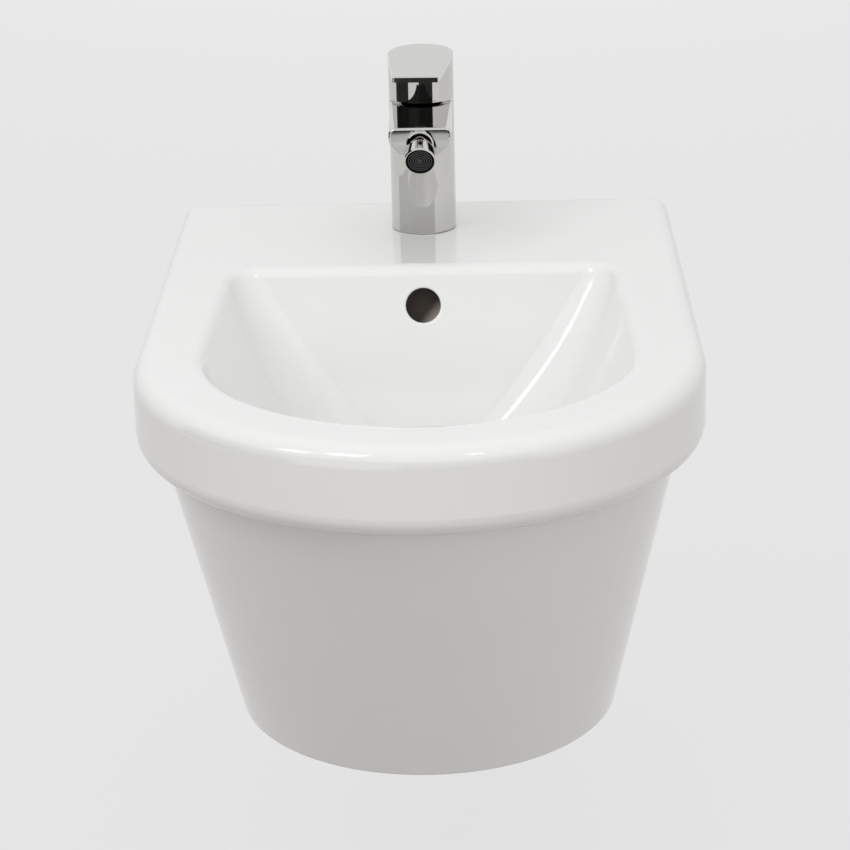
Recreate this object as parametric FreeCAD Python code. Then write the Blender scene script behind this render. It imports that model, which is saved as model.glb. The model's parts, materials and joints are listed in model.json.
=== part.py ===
import FreeCAD
import Part
import math
import os
from FreeCAD import Vector

# Wall-hung bidet with a single-lever mixer and a push-to-open waste, in millimetres.
# The origin lies on the wall plane, midway between the two wall fixings.
# +X is to the viewer's right, +Y goes into the wall and +Z is up, so the front faces -Y.
# "Out" is a distance from the wall, "depth" is measured down from the rim.

# China: rim slab and casing
RIM_ABOVE_FIXINGS = 80.0
RIM_WIDTH = 365.0
RIM_LENGTH = 520.0
SLAB_HEIGHT = 58.0
SLAB_TOP_ROUND = 13.0
SLAB_FOOT_ROUND = 14.0
CASING_STEP = 16.5
CASING_HEIGHT = 218.0
CASING_FOOT_WIDTH = 257.0
CASING_FOOT_LENGTH = 395.0
CASING_FOOT_ROUND = 5.0
CHINA_WALL = 12.0
BACK_WALL = 18.0
DECK_THICKNESS = 16.0
HOLLOW_CORNER = 10.0
PIPE_GAP_WIDTH = 130.0
PIPE_GAP_HEIGHT = 140.0

# China: bowl
BOWL_BORDER = 43.5
BOWL_BACK = 161.5
BOWL_DEPTH = 150.0
BOWL_EDGE_ROUND = 9.0
BOWL_CORNER = 20.0
BOWL_TAPER = 2.0
# Each step of the bowl from its mouth to the waste seat, as shares of the way:
# the depth, then how far the sides, back, front and back corners have come.
BOWL_STEPS = (
    (0.00, 0.00, 0.00, 0.00, 0.00),
    (0.33, 0.22, 0.28, 0.15, 0.55),
    (0.67, 0.58, 0.56, 0.46, 1.20),
    (0.92, 0.90, 0.83, 0.84, 1.30),
    (1.00, 1.00, 1.00, 1.00, 1.00),
)
WASTE_SEAT_RADIUS = 40.0
WASTE_SEAT_CORNER = 38.0

# China: overflow and waste outlet
OVERFLOW_RADIUS = 12.2
OVERFLOW_DEPTH = 26.0
OVERFLOW_EDGE_ROUND = 1.5
OVERFLOW_HOLE_REACH = 15.0
DUCT_WIDTH = 28.0
DUCT_GAP = 14.0
DUCT_WALL = 10.0
DUCT_TOP = 10.0
DUCT_FLOOR_COVER = 9.0
WASTE_OUT = 262.0
WASTE_HOLE_RADIUS = 22.0
WASTE_CHINA = 36.0
HUB_RADIUS = 40.0

# Wall fixings
FIXING_WIDTH = 180.0
FIXING_HOLE_RADIUS = 10.0
SLEEVE_CLEARANCE = 0.2
SLEEVE_BORE_RADIUS = 6.5
SLEEVE_FLANGE_RADIUS = 17.0
SLEEVE_FLANGE_THICKNESS = 3.0
FIXING_WASHER_RADIUS = 15.0
FIXING_WASHER_THICKNESS = 2.5
FIXING_NUT_FLATS = 19.0
FIXING_NUT_HEIGHT = 10.0
FIXING_NUT_BORE_RADIUS = 6.1

# Waste
WASTE_FLANGE_RADIUS = 31.5
WASTE_FLANGE_THICKNESS = 5.0
WASTE_NECK_RADIUS = 21.5
WASTE_NECK_BELOW_NUT = 4.0
WASTE_TAIL_RADIUS = 20.95
WASTE_TAIL_DEPTH = 255.0
WASTE_BORE_RADIUS = 17.0
WASTE_DISH_RADIUS = 25.0
WASTE_DISH_DEPTH = 2.5
WASTE_WINDOW_WIDTH = 20.0
FLANGE_SEAL_THICKNESS = 1.5
FLANGE_SEAL_INSET = 1.5
FLANGE_SEAL_CLEARANCE = 0.5
UNDER_SEAL_THICKNESS = 5.0
UNDER_SEAL_RADIUS = 32.0
LOCK_NUT_FLATS = 56.0
LOCK_NUT_HEIGHT = 12.0
PLUG_RADIUS = 24.2
PLUG_THICKNESS = 3.0
PLUG_CROWN = 3.0
PLUG_SEAL_RADIUS = 19.5
PLUG_SEAL_THICKNESS = 1.2
PLUG_SEAL_GAP = 0.3
PLUG_LIFT = 7.0
PLUG_STEM_RADIUS = 3.0
PLUG_STEM_LENGTH = 42.0
GUIDE_DROP = 26.0
GUIDE_HEIGHT = 10.0
GUIDE_HUB_RADIUS = 7.0
GUIDE_ARM_WIDTH = 4.0
STEM_SLIDE_CLEARANCE = 0.08

# Mixer, measured from its axis ("reach" is forward) and up from the deck
MIXER_OUT = 62.0
TAP_HOLE_RADIUS = 17.5
MIXER_RADIUS = 23.4
MIXER_FOOT_ROUND = 0.8
MIXER_TOP = 95.5
MIXER_FOOT_GAP = 0.3
BASE_GASKET_THICKNESS = 2.0
BASE_GASKET_RADIUS = 20.0
BASE_GASKET_CLEARANCE = 0.2
SHANK_RADIUS = 16.5
SHANK_DEPTH = 12.0
INLET_RADIUS = 4.5
INLET_THREAD_LENGTH = 14.0
WATERWAY_RADIUS = 3.5
INLET_WIDTH = 17.0
INLET_REACH = 4.0
STUD_RADIUS = 4.0
STUD_REACH = -9.0
STUD_LENGTH = 78.0
STUD_GRIP = 15.0
SPOUT_REACH = 88.0
SPOUT_WIDTH = 44.0
SPOUT_ROOT_HEIGHT = 34.0
SPOUT_TIP_HEIGHT = 20.5
SPOUT_ROOT_SHOULDER = 1.0
SPOUT_TIP_SHOULDER = 4.5
SPOUT_BELLY = 14.5
SPOUT_ROUND = 2.0
OUTLET_HEIGHT = 74.0
CLAMP_RADIUS = 26.0
CLAMP_GASKET_THICKNESS = 3.0
CLAMP_PLATE_THICKNESS = 2.5
CLAMP_PLATE_INSET = 1.0
CLAMP_SLOT_WIDTH = 29.0
CLAMP_SLOT_START = -2.0
CLAMP_NUT_FLATS = 13.0
CLAMP_NUT_HEIGHT = 18.0
STUD_HOLE_CLEARANCE = 0.4

# Cartridge
CARTRIDGE_RADIUS = 17.5
CARTRIDGE_FOOT = 55.0
CARTRIDGE_TOP = 88.0
CARTRIDGE_ROOM = 1.0
CARTRIDGE_SEAL_THICKNESS = 1.5
CARTRIDGE_SEAL_WIDTH = 2.0
CARTRIDGE_PORT_DEPTH = 6.0
RING_NUT_RADIUS = 19.6
RING_NUT_BORE_RADIUS = 13.5
PIVOT_HEIGHT = 86.0
GUIDE_RADIUS = 11.0
GUIDE_FOOT = 77.0
GUIDE_TOP = 92.0
GUIDE_CLEARANCE = 0.1
GUIDE_SLOT_REACH = 7.6
STEM_SIDE = 8.0
STEM_FOOT = 80.0
STEM_TOP = 117.0
STEM_CLEARANCE = 0.15
PIN_RADIUS = 1.5
PIN_LENGTH = 20.0
PIN_CLEARANCE = 0.05
DOME_RADIUS = 19.5
DOME_WALL = 2.0
DOME_MOUTH_RADIUS = 13.0

# Lever
LEVER_GAP = 1.5
LEVER_TURNED = -2.4
LEVER_LIFT = 22.0
LEVER_LIFT_ROOM = 1.5
LEVER_ROOM = 0.7
LEVER_TOP = 129.0
LEVER_SLOPE = 2.7
LEVER_REACH = 64.0
LEVER_TIP_WIDTH = 32.4
LEVER_TIP_CORNER = 1.5
LEVER_TIP_THICKNESS = 4.0
LEVER_EDGE_ROUND = 1.0
SCREW_HEIGHT = 112.0
SCREW_RADIUS = 2.5
SCREW_LENGTH = 8.0
SCREW_SOCKET_RADIUS = 1.3
SCREW_SOCKET_DEPTH = 3.0
SCREW_CAP_RADIUS = 2.9
SCREW_CAP_LENGTH = 3.0

# Swivel nozzle, measured along its axis from the centre of the ball
SOCKET_FACE = 4.3
BALL_DROP = 10.5
BALL_RADIUS = 6.4
BALL_CLEARANCE = 0.1
NOZZLE_DROP = 20.5
NOZZLE_CONE = 23.0
THROAT_ROOM = 2.0
SOCKET_RADIUS = 8.2
SOCKET_BACK = 7.4
SOCKET_PASSAGE_RADIUS = 3.8
BALL_SEAL_THICKNESS = 1.4
BALL_SEAL_BORE_RADIUS = 4.4
SEAT_FRONT = -2.6
SEAT_CLEARANCE = 0.1
RETAINER_BACK = -1.3
RETAINER_RADIUS = 9.4
RETAINER_SPHERE = 12.6
RETAINER_MOUTH_RADIUS = 7.4
NECK_RADIUS = 3.4
NECK_LENGTH = 15.2
NECK_BORE_RADIUS = 2.2
NOZZLE_GAP = 0.4
NOZZLE_BACK_RADIUS = 7.8
NOZZLE_FRONT_RADIUS = 11.1
NOZZLE_LENGTH = 24.0
NOZZLE_LIP = 0.6
AERATOR_RADIUS = 9.9
AERATOR_SEAT = 15.6
AERATOR_SETBACK = 0.6
AERATOR_RING_PITCH = 1.6
AERATOR_RING_GROOVE = 0.8
AERATOR_RING_DEPTH = 1.6
AERATOR_WASHER_THICKNESS = 1.2
AERATOR_WASHER_BORE_RADIUS = 5.5

# Derived positions
RIM_Z = RIM_ABOVE_FIXINGS
SLAB_FOOT_Z = RIM_Z - SLAB_HEIGHT
FOOT_Z = SLAB_FOOT_Z - CASING_HEIGHT
DECK_UNDER_Z = RIM_Z - DECK_THICKNESS
SEAT_Z = RIM_Z - BOWL_DEPTH
HUB_FOOT_Z = SEAT_Z - WASTE_CHINA
TAIL_FOOT_Z = RIM_Z - WASTE_TAIL_DEPTH
FLANGE_FOOT_Z = SEAT_Z + FLANGE_SEAL_THICKNESS
FLANGE_TOP_Z = FLANGE_FOOT_Z + WASTE_FLANGE_THICKNESS
DISH_Z = FLANGE_TOP_Z - WASTE_DISH_DEPTH
UNDER_SEAL_FOOT_Z = HUB_FOOT_Z - UNDER_SEAL_THICKNESS
LOCK_NUT_FOOT_Z = UNDER_SEAL_FOOT_Z - LOCK_NUT_HEIGHT
TAIL_TOP_Z = LOCK_NUT_FOOT_Z - WASTE_NECK_BELOW_NUT
RIM_HALF = RIM_WIDTH / 2
MOUTH_HALF = RIM_HALF - BOWL_BORDER
MOUTH_FRONT = RIM_LENGTH - BOWL_BORDER
SLEEVE_RADIUS = FIXING_HOLE_RADIUS - SLEEVE_CLEARANCE
BODY_FOOT = MIXER_FOOT_GAP
LEVER_FOOT = MIXER_TOP + LEVER_GAP
CARTRIDGE_BORE_RADIUS = CARTRIDGE_RADIUS + CARTRIDGE_ROOM
CARTRIDGE_FLOOR = CARTRIDGE_FOOT - CARTRIDGE_SEAL_THICKNESS
CLAMP_TOP = -DECK_THICKNESS
PLATE_TOP = CLAMP_TOP - CLAMP_GASKET_THICKNESS
NUT_TOP = PLATE_TOP - CLAMP_PLATE_THICKNESS
STUD_TOP = BODY_FOOT + STUD_GRIP
NOZZLE_SPHERE = RETAINER_SPHERE + NOZZLE_GAP
BALL_REACH = SPOUT_REACH - SOCKET_FACE
BALL_HEIGHT = MIXER_TOP - BALL_DROP


def cylinder(radius, low, high, x=0.0, out=0.0):
    return Part.makeCylinder(radius, high - low, Vector(x, -out, low))


def ring(radius, bore, low, high, x=0.0, out=0.0):
    return cylinder(radius, low, high, x, out).cut(cylinder(bore, low - 1, high + 1, x, out))


def block(x_half, out_low, out_high, low, high):
    return Part.makeBox(2 * x_half, out_high - out_low, high - low, Vector(-x_half, -out_high, low))


def hexagon(flats, low, high):
    radius = flats / math.sqrt(3)
    turns = [k * math.pi / 3 for k in range(7)]
    corners = [Vector(radius * math.cos(turn), radius * math.sin(turn), low) for turn in turns]
    return Part.Face(Part.makePolygon(corners)).extrude(Vector(0, 0, high - low))


def line(start, end):
    return Part.LineSegment(start, end).toShape()


def arc(start, middle, end):
    return Part.Arc(start, middle, end).toShape()


def d_outline(half, back, front, z, corner, taper=0.0):
    """Plan outline with a straight back, a half-round front and sides that come in towards the back."""
    lean = math.radians(taper)
    middle = front - half
    rear = half - (corner + math.sin(lean) * (middle - back - corner)) / math.cos(lean)

    def at(x, out):
        return Vector(x, -out, z)

    def on_front(side, angle):
        return at(side * half * math.cos(angle), middle + half * math.sin(angle))

    def on_corner(side, angle):
        return at(side * (rear + corner * math.cos(angle)), back + corner - corner * math.sin(angle))

    square = math.pi / 2
    half_way = (square + lean) / 2
    edges = [line(on_corner(-1, square), on_corner(1, square))]
    if corner > 0:
        edges.append(arc(on_corner(1, square), on_corner(1, half_way), on_corner(1, lean)))
    edges.append(line(on_corner(1, lean), on_front(1, -lean)))
    edges.append(arc(on_front(1, -lean), on_front(1, square / 2), on_front(1, square)))
    edges.append(arc(on_front(-1, square), on_front(-1, square / 2), on_front(-1, -lean)))
    edges.append(line(on_front(-1, -lean), on_corner(-1, lean)))
    if corner > 0:
        edges.append(arc(on_corner(-1, lean), on_corner(-1, half_way), on_corner(-1, square)))
    return Part.Wire(edges)


def rim_slab():
    middle = RIM_LENGTH - RIM_HALF
    corners = [Vector(-RIM_HALF, 0, SLAB_FOOT_Z), Vector(RIM_HALF, 0, SLAB_FOOT_Z)]
    sides = [Vector(RIM_HALF, -middle, SLAB_FOOT_Z), Vector(-RIM_HALF, -middle, SLAB_FOOT_Z)]
    outline = Part.Wire([
        line(corners[0], corners[1]),
        line(corners[1], sides[0]),
        arc(sides[0], Vector(0, -RIM_LENGTH, SLAB_FOOT_Z), sides[1]),
        line(sides[1], corners[0]),
    ])
    slab = Part.Face(outline).extrude(Vector(0, 0, SLAB_HEIGHT))
    slab = slab.makeFillet(SLAB_TOP_ROUND, level_edges(slab, RIM_Z))
    return slab.makeFillet(SLAB_FOOT_ROUND, level_edges(slab, SLAB_FOOT_Z))


def level_edges(shape, z):
    """Edges at one height, apart from those that lie on the wall plane."""
    chosen = []
    for edge in shape.Edges:
        box = edge.BoundBox
        if abs(box.ZMin - z) < 0.01 and abs(box.ZMax - z) < 0.01 and box.YMin < -0.01:
            chosen.append(edge)
    return chosen


def casing_outline(z, inset, back, corner):
    share = (SLAB_FOOT_Z - z) / CASING_HEIGHT
    half = RIM_HALF - CASING_STEP - share * (RIM_HALF - CASING_STEP - CASING_FOOT_WIDTH / 2)
    front = RIM_LENGTH - CASING_STEP - share * (RIM_LENGTH - CASING_STEP - CASING_FOOT_LENGTH)
    return d_outline(half - inset, back, front - inset, z, corner)


def casing():
    top = casing_outline(SLAB_FOOT_Z + SLAB_FOOT_ROUND, 0, 0, 0)
    foot = casing_outline(FOOT_Z, 0, 0, 0)
    shape = Part.makeLoft([top, foot], True, True)
    return shape.makeFillet(CASING_FOOT_ROUND, level_edges(shape, FOOT_Z))


def between(start, end, share):
    return start + (end - start) * share


def bowl(wall):
    """The bowl as a solid, grown by a wall thickness."""
    wires = []
    for depth, sides, back, front, corner in BOWL_STEPS:
        wires.append(d_outline(between(MOUTH_HALF, WASTE_SEAT_RADIUS, sides) + wall,
                               between(BOWL_BACK, WASTE_OUT - WASTE_SEAT_RADIUS, back) - wall,
                               between(MOUTH_FRONT, WASTE_OUT + WASTE_SEAT_RADIUS, front) + wall,
                               RIM_Z - depth * (BOWL_DEPTH + wall),
                               between(BOWL_CORNER, WASTE_SEAT_CORNER, corner) + wall,
                               BOWL_TAPER * (1 - sides)))
    return Part.makeLoft(wires, True, False)


def back_slope():
    depth, _, back, _, _ = BOWL_STEPS[2]
    return (between(BOWL_BACK, WASTE_OUT - WASTE_SEAT_RADIUS, back) - BOWL_BACK) / (depth * BOWL_DEPTH)


def duct(half, top, wall):
    """Overflow duct behind the back wall of the bowl, down to the waste hole."""
    slope = back_slope()
    front = BOWL_BACK - CHINA_WALL
    cover = BOWL_DEPTH + DUCT_FLOOR_COVER
    floor = cover + DUCT_GAP
    behind = front - DUCT_GAP - wall
    inner = WASTE_OUT - WASTE_HOLE_RADIUS / 2
    profile = [
        (front + slope * top, top),
        (front + slope * cover, cover),
        (inner, cover),
        (inner, floor + wall),
        (behind + slope * (floor + wall), floor + wall),
        (behind + slope * top, top),
    ]
    points = [Vector(-half, -out, RIM_Z - depth) for out, depth in profile]
    return Part.Face(Part.makePolygon(points + points[:1])).extrude(Vector(2 * half, 0, 0))


def hollow():
    """Room under the deck and round the bowl, open at the foot."""
    below = FOOT_Z - 1
    lower = Part.makeLoft([casing_outline(SLAB_FOOT_Z, CHINA_WALL, BACK_WALL, HOLLOW_CORNER),
                           casing_outline(below, CHINA_WALL, BACK_WALL, HOLLOW_CORNER)], True, True)
    upper = Part.Face(casing_outline(SLAB_FOOT_Z, CHINA_WALL, BACK_WALL, HOLLOW_CORNER))
    return lower.fuse(upper.extrude(Vector(0, 0, DECK_UNDER_Z - SLAB_FOOT_Z)))


def overflow_mouth():
    """Middle of the overflow hole on the bowl's back wall, and the way it faces."""
    out = BOWL_BACK + back_slope() * OVERFLOW_DEPTH
    angle = math.atan(back_slope())
    return Vector(0, -out, RIM_Z - OVERFLOW_DEPTH), Vector(0, -math.cos(angle), math.sin(angle))


def overflow_hole():
    mouth, ahead = overflow_mouth()
    behind = CHINA_WALL + DUCT_GAP / 2
    return Part.makeCylinder(OVERFLOW_RADIUS, behind + OVERFLOW_HOLE_REACH, mouth - ahead * behind, ahead)


def overflow_edges(shape):
    """Edges where the overflow hole meets the bowl."""
    mouth, _ = overflow_mouth()
    chosen = []
    for edge in shape.Edges:
        distances = [(point - mouth).Length for point in edge.discretize(9)]
        if max(abs(distance - OVERFLOW_RADIUS) for distance in distances) < OVERFLOW_EDGE_ROUND / 2:
            chosen.append(edge)
    return chosen


def along_wall(radius, out_low, out_high, x):
    return Part.makeCylinder(radius, out_high - out_low, Vector(x, -out_low, 0), Vector(0, -1, 0))


def fired_piece():
    """The whole china, before it is divided into its regions."""
    shape = rim_slab().fuse(casing())
    room = hollow().cut(bowl(CHINA_WALL))
    room = room.cut(cylinder(HUB_RADIUS, HUB_FOOT_Z, SEAT_Z, 0, WASTE_OUT))
    room = room.cut(duct(DUCT_WIDTH / 2 + DUCT_WALL, 0, DUCT_WALL))
    shape = shape.cut(room).cut(bowl(0))
    shape = shape.cut(duct(DUCT_WIDTH / 2, DUCT_TOP, 0)).cut(overflow_hole())
    shape = shape.cut(cylinder(WASTE_HOLE_RADIUS, HUB_FOOT_Z - 1, SEAT_Z + 1, 0, WASTE_OUT))
    shape = shape.cut(cylinder(TAP_HOLE_RADIUS, DECK_UNDER_Z - 1, RIM_Z + 1, 0, MIXER_OUT))
    shape = shape.cut(block(PIPE_GAP_WIDTH / 2, -1, BACK_WALL + 1, FOOT_Z - 1, FOOT_Z + PIPE_GAP_HEIGHT))
    for side in (-1, 1):
        shape = shape.cut(along_wall(FIXING_HOLE_RADIUS, -1, BACK_WALL + 1, side * FIXING_WIDTH / 2))
    shape = shape.makeFillet(OVERFLOW_EDGE_ROUND, overflow_edges(shape))
    return shape.makeFillet(BOWL_EDGE_ROUND, mouth_edges(shape))


def bowl_region():
    return bowl(CHINA_WALL).fuse(cylinder(HUB_RADIUS, HUB_FOOT_Z, SEAT_Z, 0, WASTE_OUT))


def slab_region():
    return block(RIM_WIDTH, -1, RIM_LENGTH + 1, SLAB_FOOT_Z, RIM_Z + 1)


def back_region():
    return block(RIM_WIDTH, -1, BACK_WALL, FOOT_Z - 1, SLAB_FOOT_Z)


def duct_region():
    return duct(DUCT_WIDTH / 2 + DUCT_WALL, 0, DUCT_WALL).cut(slab_region())


def ceramic_rim():
    return fired_piece().common(slab_region()).cut(bowl_region())


def ceramic_bowl():
    return fired_piece().common(bowl_region())


def ceramic_back():
    return fired_piece().common(back_region())


def ceramic_duct():
    return fired_piece().common(duct_region()).cut(bowl_region())


def ceramic_casing():
    shape = fired_piece().cut(slab_region()).cut(back_region())
    return shape.cut(bowl_region()).cut(duct_region())


def mouth_edges(shape):
    """Edges where the bowl meets the rim's flat top."""
    chosen = []
    for edge in level_edges(shape, RIM_Z):
        box = edge.BoundBox
        widest = max(abs(box.XMin), abs(box.XMax))
        if -box.YMax > BOWL_BACK - 1 and widest < MOUTH_HALF + 1 and -box.YMin < MOUTH_FRONT + 1:
            chosen.append(edge)
    return chosen


def both_fixings(shape):
    """The same piece on the left and on the right fixing."""
    left = shape.copy()
    left.translate(Vector(-FIXING_WIDTH / 2, 0, 0))
    right = shape.copy()
    right.translate(Vector(FIXING_WIDTH / 2, 0, 0))
    return Part.makeCompound([left, right])


def wall_fixing_sleeves():
    flange_out = BACK_WALL + SLEEVE_FLANGE_THICKNESS
    shape = along_wall(SLEEVE_RADIUS, 0, BACK_WALL, 0)
    shape = shape.fuse(along_wall(SLEEVE_FLANGE_RADIUS, BACK_WALL, flange_out, 0)).removeSplitter()
    return both_fixings(shape.cut(along_wall(SLEEVE_BORE_RADIUS, -1, flange_out + 1, 0)))


def wall_fixing_washers():
    low = BACK_WALL + SLEEVE_FLANGE_THICKNESS
    high = low + FIXING_WASHER_THICKNESS
    shape = along_wall(FIXING_WASHER_RADIUS, low, high, 0)
    return both_fixings(shape.cut(along_wall(SLEEVE_BORE_RADIUS, low - 1, high + 1, 0)))


def wall_fixing_nuts():
    low = BACK_WALL + SLEEVE_FLANGE_THICKNESS + FIXING_WASHER_THICKNESS
    high = low + FIXING_NUT_HEIGHT
    shape = hexagon(FIXING_NUT_FLATS, low, high).cut(cylinder(FIXING_NUT_BORE_RADIUS, low - 1, high + 1))
    shape.rotate(Vector(0, 0, 0), Vector(1, 0, 0), 90)
    return both_fixings(shape)


def at_waste(shape):
    shape.translate(Vector(0, -WASTE_OUT, 0))
    return shape


def waste_body():
    shape = cylinder(WASTE_FLANGE_RADIUS, FLANGE_FOOT_Z, FLANGE_TOP_Z)
    shape = shape.makeFillet(WASTE_FLANGE_THICKNESS / 2, level_edges(shape, FLANGE_TOP_Z))
    shape = shape.fuse(cylinder(WASTE_NECK_RADIUS, TAIL_TOP_Z, FLANGE_FOOT_Z))
    shape = shape.fuse(cylinder(WASTE_TAIL_RADIUS, TAIL_FOOT_Z, TAIL_TOP_Z))
    shape = shape.cut(cylinder(WASTE_DISH_RADIUS, DISH_Z, FLANGE_TOP_Z + 1))
    shape = shape.cut(cylinder(WASTE_BORE_RADIUS, TAIL_FOOT_Z - 1, FLANGE_TOP_Z + 1))
    window_top = SEAT_Z - DUCT_FLOOR_COVER
    window = block(WASTE_WINDOW_WIDTH / 2, -WASTE_FLANGE_RADIUS, WASTE_FLANGE_RADIUS,
                   window_top - DUCT_GAP, window_top)
    return at_waste(shape.cut(window))


def waste_flange_seal():
    return at_waste(ring(WASTE_FLANGE_RADIUS - FLANGE_SEAL_INSET, WASTE_HOLE_RADIUS + FLANGE_SEAL_CLEARANCE,
                         SEAT_Z, FLANGE_FOOT_Z))


def waste_under_seal():
    return at_waste(ring(UNDER_SEAL_RADIUS, WASTE_NECK_RADIUS, UNDER_SEAL_FOOT_Z, HUB_FOOT_Z))


def waste_lock_nut():
    shape = hexagon(LOCK_NUT_FLATS, LOCK_NUT_FOOT_Z, UNDER_SEAL_FOOT_Z)
    return at_waste(shape.cut(cylinder(WASTE_NECK_RADIUS, LOCK_NUT_FOOT_Z - 1, UNDER_SEAL_FOOT_Z + 1)))


def plug_guide():
    high = FLANGE_TOP_Z - GUIDE_DROP
    low = high - GUIDE_HEIGHT
    shape = cylinder(GUIDE_HUB_RADIUS, low, high)
    for k in range(3):
        start = Vector(0, -GUIDE_ARM_WIDTH / 2, low)
        arm = Part.makeBox(WASTE_BORE_RADIUS, GUIDE_ARM_WIDTH, GUIDE_HEIGHT, start)
        arm.rotate(Vector(0, 0, 0), Vector(0, 0, 1), 120 * k + 30)
        shape = shape.fuse(arm)
    shape = shape.common(cylinder(WASTE_BORE_RADIUS, low, high))
    bore = PLUG_STEM_RADIUS + STEM_SLIDE_CLEARANCE
    return at_waste(shape.cut(cylinder(bore, low - 1, high + 1)).removeSplitter())


def plug_foot():
    return DISH_Z + PLUG_SEAL_THICKNESS + PLUG_SEAL_GAP


def waste_plug():
    foot = plug_foot()
    edge = foot + PLUG_THICKNESS
    crown = edge + PLUG_CROWN
    profile = Part.Wire([
        line(Vector(0, 0, foot), Vector(PLUG_RADIUS, 0, foot)),
        line(Vector(PLUG_RADIUS, 0, foot), Vector(PLUG_RADIUS, 0, edge)),
        dome_edge(PLUG_RADIUS, edge, crown),
        line(Vector(0, 0, crown), Vector(0, 0, foot)),
    ])
    shape = Part.Face(profile).revolve(Vector(0, 0, 0), Vector(0, 0, 1), 360)
    return at_waste(shape)


def dome_edge(radius, edge, crown):
    rise = crown - edge
    sphere = (radius * radius + rise * rise) / (2 * rise)
    half = radius / 2
    middle = crown - sphere + math.sqrt(sphere * sphere - half * half)
    return arc(Vector(radius, 0, edge), Vector(half, 0, middle), Vector(0, 0, crown))


def plug_stem():
    high = plug_foot()
    return at_waste(cylinder(PLUG_STEM_RADIUS, high - PLUG_STEM_LENGTH, high))


def plug_seal():
    high = plug_foot()
    return at_waste(ring(PLUG_SEAL_RADIUS, PLUG_STEM_RADIUS, high - PLUG_SEAL_THICKNESS, high))


def to_deck(shape):
    """From the mixer's own axis to its place on the deck."""
    shape.translate(Vector(0, -MIXER_OUT, RIM_Z))
    return shape


def turned_to_deck(shape):
    """To the deck with the lever, which stands turned a little to one side."""
    shape.rotate(Vector(0, 0, 0), Vector(0, 0, 1), LEVER_TURNED)
    return to_deck(shape)


def spout_outline(out, height, shoulder):
    """Section of the spout: level top, rounded shoulders and a rounder belly."""
    half = SPOUT_WIDTH / 2

    def bend(side, level, inward, radius):
        """Three points round a corner, from the side to the level face."""
        x = side * (half - radius)
        z = level + inward * radius
        turns = (0, math.pi / 4, math.pi / 2)
        return [Vector(x + side * radius * math.cos(turn), -out, z - inward * radius * math.sin(turn))
                for turn in turns]

    tops = [bend(side, MIXER_TOP, -1, shoulder) for side in (1, -1)]
    feet = [bend(side, MIXER_TOP - height, 1, SPOUT_BELLY) for side in (1, -1)]
    return Part.Wire([
        arc(*reversed(tops[0])),
        line(tops[0][0], feet[0][0]),
        arc(*feet[0]),
        line(feet[0][2], feet[1][2]),
        arc(*reversed(feet[1])),
        line(feet[1][0], tops[1][0]),
        arc(*tops[1]),
        line(tops[1][2], tops[0][2]),
    ])


def spout():
    root = spout_outline(0, SPOUT_ROOT_HEIGHT, SPOUT_ROOT_SHOULDER)
    tip = spout_outline(SPOUT_REACH, SPOUT_TIP_HEIGHT, SPOUT_TIP_SHOULDER)
    shape = Part.makeLoft([root, tip], True, True)
    front = [edge for edge in shape.Edges if edge.BoundBox.YMax < 0.01 - SPOUT_REACH]
    return shape.makeFillet(SPOUT_ROUND, front)


def outlet():
    """Waterway that climbs from the cartridge to the nozzle's socket."""
    start = Vector(0, -CARTRIDGE_RADIUS, OUTLET_HEIGHT)
    along = ball_centre() - start
    return Part.makeCylinder(SOCKET_PASSAGE_RADIUS, along.Length, start, along)


def forward(radius, low, high, height):
    """Cylinder that points forward from the mixer's axis."""
    return Part.makeCylinder(radius, high - low, Vector(0, -low, height), Vector(0, -1, 0))


def mixer_body():
    shape = cylinder(MIXER_RADIUS, BODY_FOOT, MIXER_TOP)
    shape = shape.makeFillet(MIXER_FOOT_ROUND, level_edges(shape, BODY_FOOT))
    shape = shape.fuse(spout()).removeSplitter()
    shape = shape.fuse(cylinder(SHANK_RADIUS, -SHANK_DEPTH, BODY_FOOT))
    shape = shape.cut(cylinder(CARTRIDGE_BORE_RADIUS, CARTRIDGE_FLOOR, MIXER_TOP + 1))
    shape = shape.cut(cylinder(RING_NUT_RADIUS, CARTRIDGE_TOP, MIXER_TOP + 1))
    thread_top = INLET_THREAD_LENGTH - SHANK_DEPTH
    for side in (-1, 1):
        x = side * INLET_WIDTH / 2
        shape = shape.cut(cylinder(INLET_RADIUS, -SHANK_DEPTH - 1, thread_top, x, INLET_REACH))
        shape = shape.cut(cylinder(WATERWAY_RADIUS, -SHANK_DEPTH, CARTRIDGE_FLOOR + 1, x, INLET_REACH))
    shape = shape.cut(cylinder(STUD_RADIUS, -SHANK_DEPTH - 1, STUD_TOP, 0, STUD_REACH))
    shape = shape.cut(forward(SOCKET_RADIUS, BALL_REACH - SOCKET_BACK, SPOUT_REACH + 1, BALL_HEIGHT))
    shape = shape.cut(outlet())
    gasket_room = ring(BASE_GASKET_RADIUS, SHANK_RADIUS, BODY_FOOT - 1, BASE_GASKET_THICKNESS)
    return to_deck(shape.cut(gasket_room))


def mixer_base_gasket():
    radius = BASE_GASKET_RADIUS - BASE_GASKET_CLEARANCE
    return to_deck(ring(radius, SHANK_RADIUS, 0, BASE_GASKET_THICKNESS))


def mixer_stud():
    return to_deck(cylinder(STUD_RADIUS, STUD_TOP - STUD_LENGTH, STUD_TOP, 0, STUD_REACH))


def horseshoe(radius, low, high):
    """Clamp that leaves room for the two inlets and grips the stud."""
    shape = cylinder(radius, low, high)
    shape = shape.cut(block(CLAMP_SLOT_WIDTH / 2, CLAMP_SLOT_START, radius + 1, low - 1, high + 1))
    return shape.cut(cylinder(STUD_RADIUS + STUD_HOLE_CLEARANCE, low - 1, high + 1, 0, STUD_REACH))


def clamp_gasket():
    return to_deck(horseshoe(CLAMP_RADIUS, PLATE_TOP, CLAMP_TOP))


def clamp_plate():
    return to_deck(horseshoe(CLAMP_RADIUS - CLAMP_PLATE_INSET, NUT_TOP, PLATE_TOP))


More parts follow.
